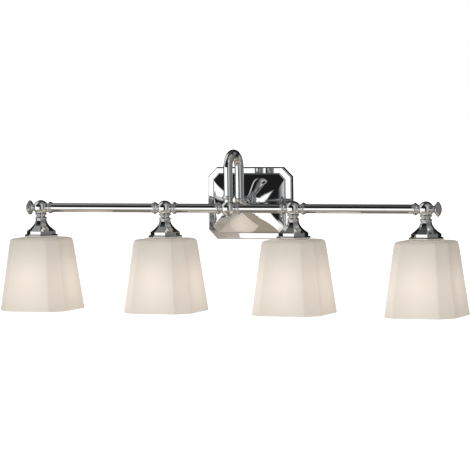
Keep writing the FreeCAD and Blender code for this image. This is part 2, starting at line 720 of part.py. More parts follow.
def main():
    os.makedirs("parts", exist_ok=True)
    save("backplate", backplate())
    save("mounting_strap", mounting_strap())
    save("backplate_screws", *fixing_screws())
    save("ground_screw", ground_screw())
    save("backplate_stiffener", stiffener())
    save("arm_lock_washer", arm_lock_washer())
    save("arm_locknut", arm_locknut())
    save("arm_nipple", arm_nipple())
    save("arm_flange", arm_flange())
    save("arm_tube", arm_tube())
    centre = Vector(0, bar_y, bar_z)
    save("arm_collar", collar(centre, UP))
    save("centre_hub", centre_hub())
    save("centre_hub_cap", centre_hub_cap())
    stations = sorted(lamp_x + [0.0])
    for i, (left, right) in enumerate(zip(stations, stations[1:])):
        save("bar_tube_%d" % (i + 1), bar_tube(left, right))
    ends = [(x, RIGHT) for x in stations[:-1]] + [(x, LEFT) for x in stations[1:]]
    save("bar_collars", *[collar(Vector(x, bar_y, bar_z), axis) for x, axis in ends])
    level_nipples = [hub_nipple(Vector(x, bar_y, bar_z), axis) for x, axis in ends]
    save("hub_nipples", hub_nipple(centre, UP), *level_nipples)
    save("end_finial_left", end_finial(lamp_x[0], LEFT))
    save("end_finial_right", end_finial(lamp_x[-1], RIGHT))
    save("cup_nipples", *[cup_nipple(x) for x in lamp_x])
    save("cup_nuts", *[cup_nut(x) for x in lamp_x])
    save("shade_gaskets", *[shade_gasket(x) for x in lamp_x])
    save("socket_shells", *[socket_shell(x) for x in lamp_x])
    save("socket_contacts", *[socket_contact(x) for x in lamp_x])
    save("wires_black", *conductor(-1))
    save("wires_white", *conductor(1))
    for i, x in enumerate(lamp_x):
        number = str(i + 1)
        save("hub_" + number, lamp_hub(x))
        save("cup_" + number, cup(x))
        save("socket_body_" + number, socket_body(x))
        save("shade_ring_" + number, shade_ring(x))
        save("shade_" + number, shade(x))
        save("lamp_tip_" + number, lamp_tip(x))
        save("lamp_shell_" + number, lamp_shell(x))
        save("lamp_glass_" + number, lamp_glass(x))


main()
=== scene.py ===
import json
import math

import bmesh
import bpy
import numpy as np
from mathutils import Matrix, Vector


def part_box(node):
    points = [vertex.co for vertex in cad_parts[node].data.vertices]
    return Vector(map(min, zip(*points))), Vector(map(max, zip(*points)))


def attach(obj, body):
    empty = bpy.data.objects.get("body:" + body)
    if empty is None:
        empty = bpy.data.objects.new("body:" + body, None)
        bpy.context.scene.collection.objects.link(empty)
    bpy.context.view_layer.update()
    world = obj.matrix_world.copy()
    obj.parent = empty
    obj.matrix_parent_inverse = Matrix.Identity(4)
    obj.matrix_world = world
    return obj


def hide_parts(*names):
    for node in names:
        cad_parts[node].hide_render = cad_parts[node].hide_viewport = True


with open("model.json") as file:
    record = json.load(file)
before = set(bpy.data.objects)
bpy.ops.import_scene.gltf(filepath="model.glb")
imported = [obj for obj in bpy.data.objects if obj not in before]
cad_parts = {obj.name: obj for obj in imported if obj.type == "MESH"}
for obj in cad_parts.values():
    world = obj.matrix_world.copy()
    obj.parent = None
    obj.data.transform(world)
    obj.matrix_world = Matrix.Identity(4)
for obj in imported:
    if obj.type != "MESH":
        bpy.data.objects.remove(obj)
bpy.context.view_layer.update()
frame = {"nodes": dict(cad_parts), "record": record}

# Every size below is in millimetres, in the frame of the model: +Z up, X along the bar, the wall at Y = 0.
mm = 0.001
lampNumbers = (1, 2, 3, 4)


def boxMm(node):
    low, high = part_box(node)
    return np.array(low) / mm, np.array(high) / mm


def middle(node):
    low, high = boxMm(node)
    return (low + high) / 2


barAxis = middle("bar_tube_1")[1:]                    # Y and Z of the bar's axis
hubX = [middle("hub_%d" % k)[0] for k in lampNumbers]
plateLow, plateHigh = boxMm("backplate")
cupLow, cupHigh = boxMm("cup_1")
shadeLow, shadeHigh = boxMm("shade_1")
up, down = (0, 0, 1), (0, 0, -1)


def eased(corners, steps=5, guard=0.35, closed=True):
    # Each corner (a, b, ease) becomes an arc of radius ease tangent to its two sides, and a guard point just
    # past each end of the arc keeps the flat beside it flat when it is shaded.
    points = np.array([c[:2] for c in corners], float)
    out = []
    for i, corner in enumerate(corners):
        here, ease = points[i], corner[2] if len(corner) > 2 else 0
        atEnd = not closed and i in (0, len(corners) - 1)
        if atEnd or not ease:
            out.append(here[None])
            continue
        back, ahead = points[i - 1] - here, points[(i + 1) % len(points)] - here
        backRun, aheadRun = np.linalg.norm(back), np.linalg.norm(ahead)
        back, ahead = back / backRun, ahead / aheadRun
        half = math.acos(np.clip(back @ ahead, -1, 1)) / 2
        cut = min(ease / math.tan(half), 0.49 * backRun, 0.49 * aheadRun)
        ease = cut * math.tan(half)
        middlePoint = here + (back + ahead) / np.linalg.norm(back + ahead) * ease / math.sin(half)
        fromArm, toArm = here + back * cut - middlePoint, here + ahead * cut - middlePoint
        turn = math.pi - 2 * half
        t = np.linspace(0, 1, steps)[:, None]
        arc = middlePoint + (np.sin((1 - t) * turn) * fromArm + np.sin(t * turn) * toArm) / math.sin(turn)
        if guard and backRun > 2 * cut + 3 * guard:
            arc = np.vstack([here + back * (cut + guard), arc])
        if guard and aheadRun > 2 * cut + 3 * guard:
            arc = np.vstack([arc, here + ahead * (cut + guard)])
        out.append(arc)
    return np.vstack(out)


def arcPoints(centreA, centreB, radius, fromDegrees, toDegrees, steps):
    # points of a circle: its centre plus the radius times the cosine and sine of evenly spaced angles
    a = np.radians(np.linspace(fromDegrees, toDegrees, steps))
    return [(centreA + radius * math.cos(x), centreB + radius * math.sin(x)) for x in a]


def grooveDepth(profile):
    # how far each profile point lies inside the chord of its neighbours two points away, as 0 to 1
    chord = (np.roll(profile, 2, 0) + np.roll(profile, -2, 0)) / 2
    return np.clip((chord[:, 0] - profile[:, 0]) / 0.35, 0, 1)


def spun(profile, centre, axis, segments=96):
    # a profile (radius, distance along the axis) turned round the axis: centre + axis * distance
    # + radius * (cosine, sine) of the angle
    axis = Vector(axis)
    side = axis.orthogonal().normalized()
    other = np.array(axis.cross(side))
    angle = np.linspace(0, 2 * math.pi, segments, endpoint=False)
    ring = np.cos(angle)[:, None] * np.array(side) + np.sin(angle)[:, None] * other
    radius, along = profile[:, 0, None, None], profile[:, 1, None, None]
    return np.array(centre) + along * np.array(axis) + radius * ring


def swept(path, radius, segments=40):
    # a circle carried along a path in the plane X = 0: path + radius * (cosine * X + sine * the path's own normal)
    path = np.asarray(path, float)
    ahead = np.gradient(path, axis=0)
    ahead /= np.linalg.norm(ahead, axis=1)[:, None]
    angle = np.linspace(0, 2 * math.pi, segments, endpoint=False)
    radii = np.r_[0, np.full(len(path), radius), 0][:, None]
    path, ahead = np.vstack([path[:1], path, path[-1:]]), np.vstack([ahead[:1], ahead, ahead[-1:]])
    x = radii * np.cos(angle)
    y = path[:, :1] - radii * np.sin(angle) * ahead[:, 1:]
    z = path[:, 1:] + radii * np.sin(angle) * ahead[:, :1]
    return np.stack([x, y, z], 2)


def octagons(halfA, halfB, leg, ease, arcSteps=5):
    # Eight-sided outlines, one row each: an octagon shrunk by ease, then pushed out by ease along its normals, so
    # each of its corners is an arc through 45 degrees. halfA, halfB: centre to the sides. leg: of the cut corner.
    halfA, halfB, leg, ease = [np.atleast_1d(np.asarray(v, float)) for v in (halfA, halfB, leg, ease)]
    halfA, halfB, leg, ease = np.broadcast_arrays(halfA, halfB, leg, ease)
    a, b = np.maximum(halfA - ease, 0), np.maximum(halfB - ease, 0)
    c = np.minimum(np.maximum(leg - ease * (2 - math.sqrt(2)), 0), np.minimum(a, b))
    signs = [(1, 1, 0, 1), (1, 1, 1, 0), (-1, 1, 1, 0), (-1, 1, 0, 1), (-1, -1, 0, 1), (-1, -1, 1, 0), (1, -1, 1, 0),
             (1, -1, 0, 1)]
    corners = np.stack([np.stack([sa * (a - ca * c), sb * (b - cb * c)], 1) for sa, sb, ca, cb in signs], 1)
    angle = np.radians(np.linspace(0, 45, arcSteps)[None, :] + 45 * np.arange(8)[:, None])
    arcs = corners[:, :, None] + ease[:, None, None, None] * np.stack([np.cos(angle), np.sin(angle)], 2)
    start, end = arcs[:, :, -1], np.roll(arcs[:, :, 0], -1, 1)
    share = np.array([0.03, 0.2, 0.4, 0.6, 0.8, 0.97])[:, None]
    sides = start[:, :, None] * (1 - share) + end[:, :, None] * share
    return np.concatenate([arcs, sides], 2).reshape(len(a), -1, 2)


def piece(name, grids, finish, body="root", stands=(), marks=None, wrapRows=False):
    # Puts one or more closed grids (rows, columns, xyz in mm) into one mesh. Columns always wrap; rows wrap when
    # asked, and otherwise end in a pole. Faces are turned outwards by the sign of the enclosed volume.
    vertices, faces, values, first = [], [], [], 0
    for index, grid in enumerate(grids):
        rows, columns = grid.shape[:2]
        number = np.arange(rows * columns).reshape(rows, columns)
        below = number if wrapRows else number[:-1]
        above = np.roll(number, -1, 0) if wrapRows else number[1:]
        quads = np.stack([below, np.roll(below, -1, 1), np.roll(above, -1, 1), above], 2).reshape(-1, 4)
        flat = grid.reshape(-1, 3)
        p = flat[quads] - flat.mean(0)
        volume = np.einsum("ij,ij->i", p[:, 0], np.cross(p[:, 1], p[:, 2]) + np.cross(p[:, 2], p[:, 3])).sum()
        quads = quads if volume > 0 else quads[:, ::-1]
        vertices.append(flat)
        faces.append(quads + first)
        if marks:
            values.append(marks[index].reshape(len(flat), -1))
        first += len(flat)
    vertices, faces = np.vstack(vertices), np.vstack(faces)
    mesh = bpy.data.meshes.new(name)
    mesh.from_pydata(vertices * mm, [], faces)
    if marks:
        data = np.vstack(values)
        kind, key = ("FLOAT_VECTOR", "vector") if data.shape[1] == 3 else ("FLOAT", "value")
        label = "fromLamp" if data.shape[1] == 3 else "groove"
        mesh.attributes.new(label, kind, "POINT").data.foreach_set(key, data.ravel().astype(np.float32))
    work = bmesh.new()
    work.from_mesh(mesh)
    bmesh.ops.remove_doubles(work, verts=work.verts, dist=1e-6)
    work.to_mesh(mesh)
    work.free()
    mesh.polygons.foreach_set("use_smooth", np.ones(len(mesh.polygons), bool))
    mesh.materials.append(finish)
    obj = bpy.data.objects.new(name, mesh)
    bpy.context.collection.objects.link(obj)
    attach(obj, body)
    if stands:
        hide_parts(*stands)
    return obj


class Flow:
    # a socket in a node tree; sums and products of flows add Math nodes
    def __init__(self, tree, socket):
        self.tree, self.socket = tree, socket

    def math(self, operation, *values):
        return node(self.tree, "Math", {"operation": operation}, values)

    def __add__(self, other):
        return self.math("ADD", self, other)

    def __rsub__(self, other):
        return self.math("SUBTRACT", other, self)

    def __mul__(self, other):
        return self.math("MULTIPLY", self, other)

    def __truediv__(self, other):
        return self.math("DIVIDE", self, other)

    def __rtruediv__(self, other):
        return self.math("DIVIDE", other, self)

    def __pow__(self, other):
        return self.math("POWER", self, other)

    __radd__ = __add__
    __rmul__ = __mul__


def node(tree, kind, settings=None, inputs=(), out=0):
    # adds a node; its settings are set first, and each input is a flow to link or a constant
    made = tree.nodes.new("ShaderNode" + kind)
    for name, value in (settings or {}).items():
        if name == "ramp":
            stops = made.color_ramp.elements
            while len(stops) < len(value):
                stops.new(0.5)
            for stop, (at, colour) in zip(stops, value):
                stop.position, stop.color = at, (*colour, 1)
        else:
            setattr(made, name, value)
    pairs = inputs.items() if isinstance(inputs, dict) else enumerate(inputs)
    for name, value in pairs:
        if isinstance(value, Flow):
            tree.links.new(value.socket, made.inputs[name])
        else:
            made.inputs[name].default_value = value
    return Flow(tree, made.outputs[out]) if made.outputs else None


def noise(tree, place, scale, detail=3, rough=0.55):
    return node(tree, "TexNoise", {}, {"Vector": place, "Scale": scale, "Detail": detail, "Roughness": rough})


def ramped(tree, value, low, high):
    # 0 below low, 1 above high, smooth between
    return node(tree, "MapRange", {"interpolation_type": "SMOOTHSTEP"}, (value, low, high, 0.0, 1.0))


def mixed(tree, share, first, second):
    return node(tree, "Mix", {"data_type": "RGBA"}, {0: share, 6: first, 7: second}, out=2)


def stretched(tree, place, x, y, z):
    return node(tree, "Mapping", {}, {"Vector": place, "Scale": (x, y, z)})


def finish(name):
    # an empty material; returns the material, its tree and Object coordinates
    material = bpy.data.materials.new(name)
    material.use_nodes = True
    tree = material.node_tree
    tree.nodes.clear()
    return material, tree, node(tree, "TexCoord", out="Object")


def surface(tree, **inputs):
    # the Principled shader with these sockets, joined to the output; underscores stand for spaces
    shader = node(tree, "BsdfPrincipled", {}, {k.replace("_", " "): v for k, v in inputs.items()})
    node(tree, "OutputMaterial", {}, {"Surface": shader})
    return shader


def bumped(tree, height, strength, distance):
    return node(tree, "Bump", {}, {"Height": height, "Strength": strength, "Distance": distance})


def colour(r, g, b):
    return (r, g, b, 1.0)


# Finishes
chrome = {"tone": colour(0.83, 0.83, 0.84), "cool": colour(0.74, 0.76, 0.79), "soot": colour(0.13, 0.12, 0.11),
          "gloss": 0.018, "haze": 0.05, "smear": 0.09, "grooveDull": 0.28, "peel": 0.00001}


def chromeFinish():
    material, tree, place = finish("polishedChrome")
    groove = node(tree, "Attribute", {"attribute_name": "groove"}, out="Fac")
    cloud = ramped(tree, noise(tree, place, 26.0, 4), 0.48, 0.72)
    wiped = noise(tree, stretched(tree, place, 9, 60, 34), 3.0, 5, 0.7)
    smear = ramped(tree, wiped, 0.58, 0.74)
    dirt = groove * ramped(tree, noise(tree, place, 160.0, 3), 0.25, 0.7)
    plate = mixed(tree, cloud, chrome["tone"], chrome["cool"])
    tint = mixed(tree, dirt * 0.75, plate, chrome["soot"])
    rough = cloud * chrome["haze"] + smear * chrome["smear"] * cloud + dirt * chrome["grooveDull"] + chrome["gloss"]
    peel = noise(tree, place, 75.0, 2) + noise(tree, place, 1400.0, 1) * 0.05
    surface(tree, Base_Color=tint, Metallic=1.0, Roughness=rough, Normal=bumped(tree, peel, 0.5, chrome["peel"]))
    return material


# glow, dimGlow, strength, spill, reach, fade and shadow set the glass's painted glow and painted shade
opal = {"body": colour(0.80, 0.775, 0.74), "warm": colour(0.74, 0.665, 0.60), "dust": colour(0.55, 0.52, 0.48),
        "glow": colour(1.0, 0.865, 0.735), "dimGlow": colour(0.97, 0.83, 0.70), "strength": 0.53, "spill": 0.205,
        "reach": 58.0, "fade": 0.95, "shadow": 0.66, "gloss": 0.22, "satin": 0.42, "ripple": 0.00012}


def opalFinish():
    # Painted glow of the lamp's light through the glass, weaker away from the lamp inside, with painted shade at its
    # top.
    material, tree, place = finish("opalGlassPaintedGlow")
    offset = node(tree, "Attribute", {"attribute_name": "fromLamp"}, out="Vector")
    parts = [node(tree, "SeparateXYZ", {}, (offset,), out=axis) for axis in "XYZ"]
    across = (parts[0] * parts[0] + parts[1] * parts[1]) / opal["reach"] ** 2
    rise = parts[2] * parts[2] / opal["reach"] ** 2
    falloff = 1.0 / (across + rise) ** opal["fade"]
    uneven = noise(tree, place, 13.0, 3)
    # painted shade: the glow is dimmed towards the shade's top
    paintedTopShade = ramped(tree, parts[2], -95.0, 66.0)
    # painted light: emission standing in for the lamp's light through the glass, plus a uniform painted spill
    light = falloff * opal["strength"] * (uneven * 0.16 + 0.92) * (1 - opal["shadow"] * paintedTopShade) + opal["spill"]
    body = mixed(tree, ramped(tree, noise(tree, place, 38.0, 4), 0.42, 0.68) * 0.35, opal["body"], opal["warm"])
    dust = ramped(tree, parts[2], 56.0, 66.0) * ramped(tree, noise(tree, place, 420.0, 3), 0.45, 0.7)
    body = mixed(tree, dust * 0.22, body, opal["dust"])
    rough = ramped(tree, noise(tree, place, 52.0, 5), 0.35, 0.75) * (opal["satin"] - opal["gloss"]) + opal["gloss"]
    ripple = noise(tree, place, 21.0, 2) + noise(tree, place, 900.0, 2) * 0.012
    # colour of the painted glow, warmer where it is dim
    glow = mixed(tree, ramped(tree, light, 0.15, 0.75), opal["dimGlow"], opal["glow"])
    lit = node(tree, "VectorMath", {"operation": "SCALE"}, {"Vector": glow, "Scale": light})
    surface(tree, Base_Color=body, Roughness=rough + dust * 0.3, IOR=1.5, Emission_Color=lit,
            Emission_Strength=1.0, Normal=bumped(tree, ripple, 0.5, opal["ripple"]))
    return material


lampGlow = {"middle": colour(1.0, 0.93, 0.80), "edge": colour(1.0, 0.80, 0.55), "strength": 2.2}


def lampFinish():
    material, tree, place = finish("frostedLampGlass")
    offset = node(tree, "Attribute", {"attribute_name": "fromLamp"}, out="Vector")
    height = node(tree, "SeparateXYZ", {}, (offset,), out="Z")
    hot = 1 - ramped(tree, height, 6.0, 52.0)
    frost = noise(tree, place, 600.0, 3)
    glow = mixed(tree, hot, lampGlow["edge"], lampGlow["middle"])
    lit = node(tree, "VectorMath", {"operation": "SCALE"}, {"Vector": glow, "Scale": hot * 0.85 + 0.15})
    surface(tree, Base_Color=mixed(tree, frost, colour(0.86, 0.85, 0.82), colour(0.93, 0.92, 0.9)),
            Roughness=frost * 0.2 + 0.25, Emission_Color=lit, Emission_Strength=lampGlow["strength"],
            Normal=bumped(tree, frost, 0.3, 0.00005))
    return material


def metalFinish(name, bright, dull, gloss, spread, grain, streak=(1, 1, 1)):
    # a plain metal with mottled colour, uneven gloss and a fine grain that streak draws out
    material, tree, place = finish(name)
    mottle = ramped(tree, noise(tree, place, 70.0, 4), 0.35, 0.7)
    lines = noise(tree, stretched(tree, place, *streak), grain, 3, 0.6)
    surface(tree, Base_Color=mixed(tree, mottle * 0.7, bright, dull), Metallic=1.0,
            Roughness=mottle * spread + lines * 0.12 + gloss, Normal=bumped(tree, lines, 0.35, 0.00004))
    return material


def mouldedFinish(name, tone, worn, gloss, spread, grain=900.0, depth=0.00004):
    # a moulded plastic, rubber or ceramic: faint flow marks in its colour and a fine grain
    material, tree, place = finish(name)
    flow = noise(tree, stretched(tree, place, 1, 1, 4), 45.0, 4)
    fine = noise(tree, place, grain, 2)
    surface(tree, Base_Color=mixed(tree, ramped(tree, flow, 0.4, 0.75), tone, worn),
            Roughness=ramped(tree, flow, 0.3, 0.7) * spread + fine * 0.1 + gloss,
            Normal=bumped(tree, fine + flow * 0.5, 0.4, depth))
    return material


finishes = {
    "polished_chrome": chromeFinish(),
    "opal_glass": opalFinish(),
    "frosted_glass": lampFinish(),
    "zinc_steel": metalFinish("zincPlate", colour(0.66, 0.67, 0.68), colour(0.5, 0.5, 0.47), 0.24, 0.2, 260.0,
                              (1, 8, 8)),
    "green_screw": metalFinish("greenZinc", colour(0.05, 0.33, 0.13), colour(0.03, 0.2, 0.09), 0.22, 0.2, 500.0),
    "brass": metalFinish("bareBrass", colour(0.80, 0.60, 0.28), colour(0.6, 0.42, 0.2), 0.2, 0.2, 400.0, (3, 3, 1)),
    "lamp_cap": metalFinish("lampCap", colour(0.82, 0.82, 0.81), colour(0.62, 0.62, 0.6), 0.2, 0.22, 300.0, (1, 1, 6)),
    "silicone": mouldedFinish("clearSilicone", colour(0.72, 0.71, 0.68), colour(0.62, 0.61, 0.58), 0.35, 0.2),
    "wire_black": mouldedFinish("blackInsulation", colour(0.02, 0.02, 0.022), colour(0.04, 0.04, 0.04), 0.35, 0.15),
    "wire_white": mouldedFinish("whiteInsulation", colour(0.82, 0.81, 0.77), colour(0.7, 0.69, 0.64), 0.35, 0.15),
    "socket_phenolic": mouldedFinish("phenolic", colour(0.028, 0.024, 0.022), colour(0.05, 0.044, 0.04), 0.3, 0.2),
    "ring_plastic": mouldedFinish("mouldedRing", colour(0.80, 0.79, 0.75), colour(0.72, 0.70, 0.65), 0.3, 0.15),
    "lamp_insulator": mouldedFinish("vitrite", colour(0.02, 0.017, 0.03), colour(0.045, 0.04, 0.06), 0.12, 0.1),
}
for entry in frame["record"]["subparts"]:
    shown = frame["nodes"][entry["node"]]
    shown.data.materials.clear()
    shown.data.materials.append(finishes[entry["material_slot"]])
print("finishes ready:", len(finishes))


# Backplate and arm
backplate = {"rim": 11.0, "rimDepth": 10.0, "step": 3.0, "crown": 15.0, "seat": 13.0, "sheet": 1.5, "corner": 16.8,
             "edgeEase": 2.2, "cornerEase": 1.3, "footEase": 1.4, "mitreEase": 0.7, "seatSlopes": (4, 17, 8.5)}


def cushionRows(depth, steps):
    # Rows of the dome from its foot to the arm's seat: distance of the X, Z and diagonal sides from the middle, and
    # height. Each side is an arc that rises by crown over its run and still climbs by its slope at the seat. A
    # smooth minimum with the step's straight wall rounds the dome's foot.
    size = backplate
    top = size["rimDepth"] + size["step"] + size["crown"]
    level = top - (size["crown"] + size["step"] - 1.0) * np.linspace(1, 0, steps) ** 2
    sides = [plateHigh[0] - size["rim"], plateHigh[2] - size["rim"]]
    leg = size["corner"] - size["rim"] * (2 - math.sqrt(2))
    walls = (*sides, (sum(sides) - leg) / math.sqrt(2))
    halves = []
    for wall, slope in zip(walls, size["seatSlopes"]):
        run, slope = wall - size["seat"], math.radians(slope)
        lean = math.atan2(size["crown"], run)
        curve = math.hypot(run, size["crown"]) / (2 * math.sin(lean - slope))
        fall = np.maximum(curve ** 2 - (level - top + curve * math.cos(slope)) ** 2, 0)
        arc = size["seat"] - curve * math.sin(slope) + np.sqrt(fall)
        half = (wall + arc) / 2 - np.sqrt((wall - arc) ** 2 + size["footEase"] ** 2) / 2
        halves.append(half - depth)
    return (*halves, level - depth)


def makeBackplate():
    # Octagons set in from the plate's edge: outer wall, flat rim and step, then the dome's rows, then the same back
    # inside by the sheet's thickness.
    size = backplate
    halfX, halfZ = plateHigh[0], plateHigh[2]
    sheet, flare = size["sheet"], 2 - math.sqrt(2)
    outer = eased([(0, 0, 0), (0, size["rimDepth"], size["edgeEase"]), (size["rim"], size["rimDepth"], 0.6),
                   (size["rim"], size["rimDepth"] + 0.9)], closed=False)
    lining = [(sheet, 0), (sheet, size["rimDepth"] - sheet), (size["rim"] + sheet, size["rimDepth"] - sheet)]
    rows = []
    for skirt, depth, steps in ((outer, 0, 60), (np.array(lining), sheet, 16)):
        flat = np.column_stack([halfX - skirt[:, 0], halfZ - skirt[:, 0], size["corner"] - skirt[:, 0] * flare,
                                skirt[:, 1], np.full(len(skirt), size["cornerEase"])])
        x, z, slant, level = cushionRows(depth, steps)
        ease = size["cornerEase"] + (x[0] - x) * size["mitreEase"]
        dome = np.column_stack([x, z, x + z - math.sqrt(2) * slant, level, ease])
        seat = dome[-1] * np.array([[v, v, v, 1, v] for v in (0.96, 0.6, 0.2, 0)])
        rows.append(np.vstack([flat, dome, seat]))
    rows = np.vstack([rows[0][::-1], rows[1]])
    ease = np.minimum(rows[:, 4], rows[:, 1] * 0.9)
    ring = octagons(rows[:, 0], rows[:, 1], rows[:, 2], ease, 9)
    grid = np.stack([ring[..., 0], np.repeat(-rows[:, 3][:, None], ring.shape[1], 1), ring[..., 1]], 2)
    piece("backplate_pan", [grid], finishes["polished_chrome"], stands=["backplate"])


makeBackplate()

arm = {"radius": 7.95, "elbow": 12.0, "spread": 52.0}


def makeArm():
    low, high = boxMm("arm_tube")
    rearLeg = high[1]
    flange = boxMm("arm_flange")
    seat = flange[0][1]
    top = high[2] - arm["radius"]
    spread = arm["spread"]
    corners = [(seat + 6, 0), (barAxis[0] + spread, 0, arm["elbow"]), (barAxis[0] + spread, top, spread / 2),
               (barAxis[0], top, spread / 2), (barAxis[0], low[2] + 1)]
    path = eased(corners, steps=34, guard=2, closed=False)
    first, last = path[1] - path[0], path[-2] - path[-1]
    near = [path[0] + first / np.linalg.norm(first) * 0.4, path[-1] + last / np.linalg.norm(last) * 0.4]
    path = np.vstack([path[:1], near[:1], path[1:-1], near[1:], path[-1:]])
    piece("arm_gooseneck", [swept(path, arm["radius"], 64)], finishes["polished_chrome"], stands=["arm_tube"])
    rose = [(0, 0), (13.6, 0, 0.3), (13.6, 2.2, 0.5), (12.9, 3.4, 0.8), (9.8, 4.6, 2.0), (9.5, 6.4, 0.5),
            (10.5, 7.0, 0.4), (10.5, 8.5, 0.5), (9.3, 9.6, 0.4), (8.0, 9.6), (0, 9.4)]
    profile = eased(rose, closed=False)
    piece("arm_rose", [spun(profile, (0, flange[1][1], 0), (0, -1, 0))], finishes["polished_chrome"],
          stands=["arm_flange"], marks=[spreadMarks(profile, 96)])


def spreadMarks(profile, segments):
    return np.repeat(grooveDepth(profile)[:, None], segments, 1)


makeArm()

# Bar, hubs, collars and finials
turnings = {"ball": 13.2, "tube": 7.95, "stub": 11.6, "collarFoot": 7.1, "collarRing": 10.6, "collarLip": 9.0,
            "collarEnd": 22.4, "finialRim": 12.9, "finialRimAt": 20.4, "finialTip": 27.0, "neckFoot": 21.3}


def collarProfile():
    # from the hub's centre outwards: a spigot, a cone, a groove, a bold half-round ring and a thin lip
    foot, ring, lip, end = [turnings[k] for k in ("collarFoot", "collarRing", "collarLip", "collarEnd")]
    stub = turnings["stub"]
    return eased([(0, 9.2), (6.3, 9.2, 0.2), (6.3, stub - 0.2, 0.15), (foot, stub, 0.2), (foot, stub + 1.2, 0.4),
                  (8.6, 15.6, 2.5), (8.2, 16.1, 0.2), (8.2, 16.5, 0.2), (9.6, 16.7, 0.3), (ring, 18.0, 0.9),
                  (ring, 19.4, 0.9), (9.4, 20.7, 0.3), (lip, 20.8, 0.15), (lip, end, 0.3), (8.0, end, 0.2),
                  (7.7, end - 1), (0, end - 1)], closed=False, guard=0.15)

def makeCollars():
    profile = collarProfile()
    marks = spreadMarks(profile, 96)
    stations = sorted(hubX + [0.0])
    spots = [(x, (1, 0, 0)) for x in stations[:-1]] + [(x, (-1, 0, 0)) for x in stations[1:]]
    grids = [spun(profile, (x, *barAxis), axis) for x, axis in spots]
    piece("bar_collar_turnings", grids, finishes["polished_chrome"], stands=["bar_collars"],
          marks=[marks] * len(grids))
    piece("arm_collar_turning", [spun(profile, (0, *barAxis), up)], finishes["polished_chrome"],
          stands=["arm_collar"], marks=[marks])


def makeTubes():
    for k in lampNumbers:
        low, high = boxMm("bar_tube_%d" % k)
        rows = eased([(0, low[0]), (turnings["tube"], low[0], 0.4), (turnings["tube"], high[0], 0.4), (0, high[0])],
                     closed=False)
        fill = np.linspace(low[0] + 2, high[0] - 2, 24)
        wall = np.column_stack([np.full(24, turnings["tube"]), fill])
        half = len(rows) // 2
        rows = np.vstack([rows[:half], wall, rows[half:]])
        piece("bar_length_%d" % k, [spun(rows, (0, *barAxis), (1, 0, 0), 72)], finishes["polished_chrome"],
              stands=["bar_tube_%d" % k])


def makeHubs():
    # ball, disc, waist, ring: one turning, from the ball's top down to the cup
    ball = turnings["ball"]
    rows = arcPoints(0, 0, ball, -90, 50, 40)
    rows += [(8.5, 10.3, 0.1), (10.0, 10.4, 0.2), (10.9, 11.4, 0.5), (10.0, 12.4, 0.3), (8.2, 13.0, 0.4),
             (7.5, 14.9, 1.5), (8.2, 16.4, 0.4), (9.7, 17.1, 0.3), (10.7, 18.6, 0.8), (9.7, 20.1, 0.3),
             (9.05, 20.6, 0.2), (9.05, turnings["neckFoot"], 0.2), (0, turnings["neckFoot"])]
    profile = eased(rows, closed=False, guard=0.12)
    for k, x in zip(lampNumbers, hubX):
        piece("hub_turning_%d" % k, [spun(profile, (x, *barAxis), down)], finishes["polished_chrome"],
              stands=["hub_%d" % k], marks=[spreadMarks(profile, 96)])
    rows = arcPoints(0, 0, ball, -90, 90, 50)
    piece("centre_ball", [spun(np.array(rows), (0, *barAxis), down)], finishes["polished_chrome"],
          stands=["centre_hub"])
    rows = eased([(0, 12.5), (5.5, 12.6, 0.2), (5.6, 14.1, 0.4), (3.4, 14.75, 2.0), (0, 15.05)], closed=False, guard=0)
    piece("centre_button", [spun(rows, (0, *barAxis), down)], finishes["polished_chrome"],
          stands=["centre_hub_cap"])


def makeFinials():
    rim, at, tip = turnings["finialRim"], turnings["finialRimAt"], turnings["finialTip"]
    rise = tip - at - 0.9
    sphere = (rim ** 2 + rise ** 2) / (2 * rise)
    spread = math.degrees(math.acos(rim / sphere))
    dome = arcPoints(0, tip - sphere, sphere, spread + 2, 90, 22)
    profile = eased([(0, 9), (6.4, 9.4, 0.2), (6.4, 12.2, 0.4), (5.3, 12.8, 0.5), (5.2, 13.6, 0.6), (7.2, 16.4, 3.0),
                     (rim - 0.4, at, 0.25), (rim, at + 0.4, 0.3), (rim - 0.05, at + 0.9, 0.3), *dome], closed=False,
                    guard=0.12)
    profile[-1, 0] = 0
    for side, x, axis in (("left", hubX[0], (-1, 0, 0)), ("right", hubX[-1], (1, 0, 0))):
        piece("finial_turning_" + side, [spun(profile, (x, *barAxis), axis)], finishes["polished_chrome"],
              stands=["end_finial_" + side], marks=[spreadMarks(profile, 96)])


makeCollars()
makeTubes()
makeHubs()
makeFinials()
print("bar, hubs and arm made")

# Cups
cup = {"topFlat": 9.05, "flareFlat": 23.7, "flangeFlat": 27.2, "mouth": 21.0, "edge": 0.45, "sweep": 1.95,
       "flareFoot": 10.3, "bandFoot": 5.1, "ledge": 4.7, "flangeTop": 3.2}


